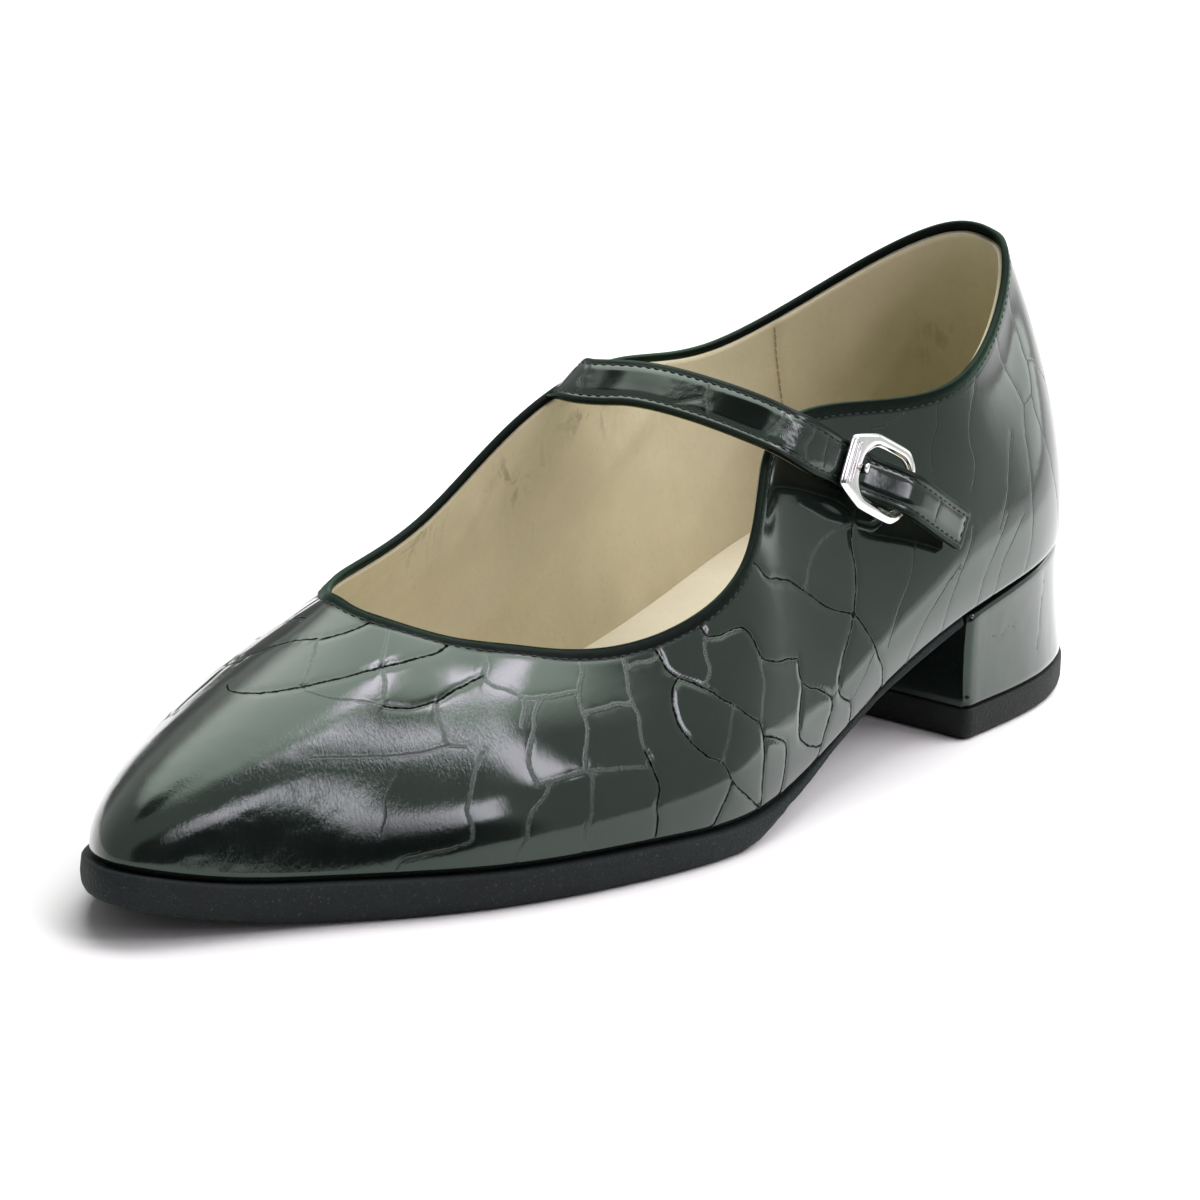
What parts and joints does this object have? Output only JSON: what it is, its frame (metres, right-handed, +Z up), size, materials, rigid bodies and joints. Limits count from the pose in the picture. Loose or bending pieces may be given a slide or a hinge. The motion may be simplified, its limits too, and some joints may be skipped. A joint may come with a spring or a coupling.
{
  "type": "mary jane flat",
  "caption": "Low block-heeled mary jane shoe, left foot: pointed hollow leather upper open at the collar, thin insole and outsole, and an instep strap closed by a small frame buckle.",
  "frame": {"origin": "middle of the shoe's footprint, on the floor it stands on", "axes": "+X from the heel to the toe, +Y to the wearer's left, which is the outer side of this left shoe, +Z up"},
  "size_m": [0.2524, 0.0862, 0.0869],
  "materials": {
    "patent_leather": "glossy, crocodile-embossed",
    "insole_sock": "matte",
    "sole_rubber": "matte",
    "patent_heel": "glossy",
    "top_piece_rubber": "satin",
    "patent_strap": "glossy, crocodile-embossed",
    "patent_tab": "glossy, crocodile-embossed",
    "buckle_silver": "polished",
    "prong_silver": "polished"
  },
  "bodies": {
    "root": {"upper": "patent_leather", "insole": "insole_sock", "outsole": "sole_rubber", "heel_block": "patent_heel", "heel_top_piece": "top_piece_rubber", "strap": "patent_strap", "buckle_tab": "patent_tab", "buckle_frame": "buckle_silver", "buckle_prong": "prong_silver"}
  },
  "joints": []
}
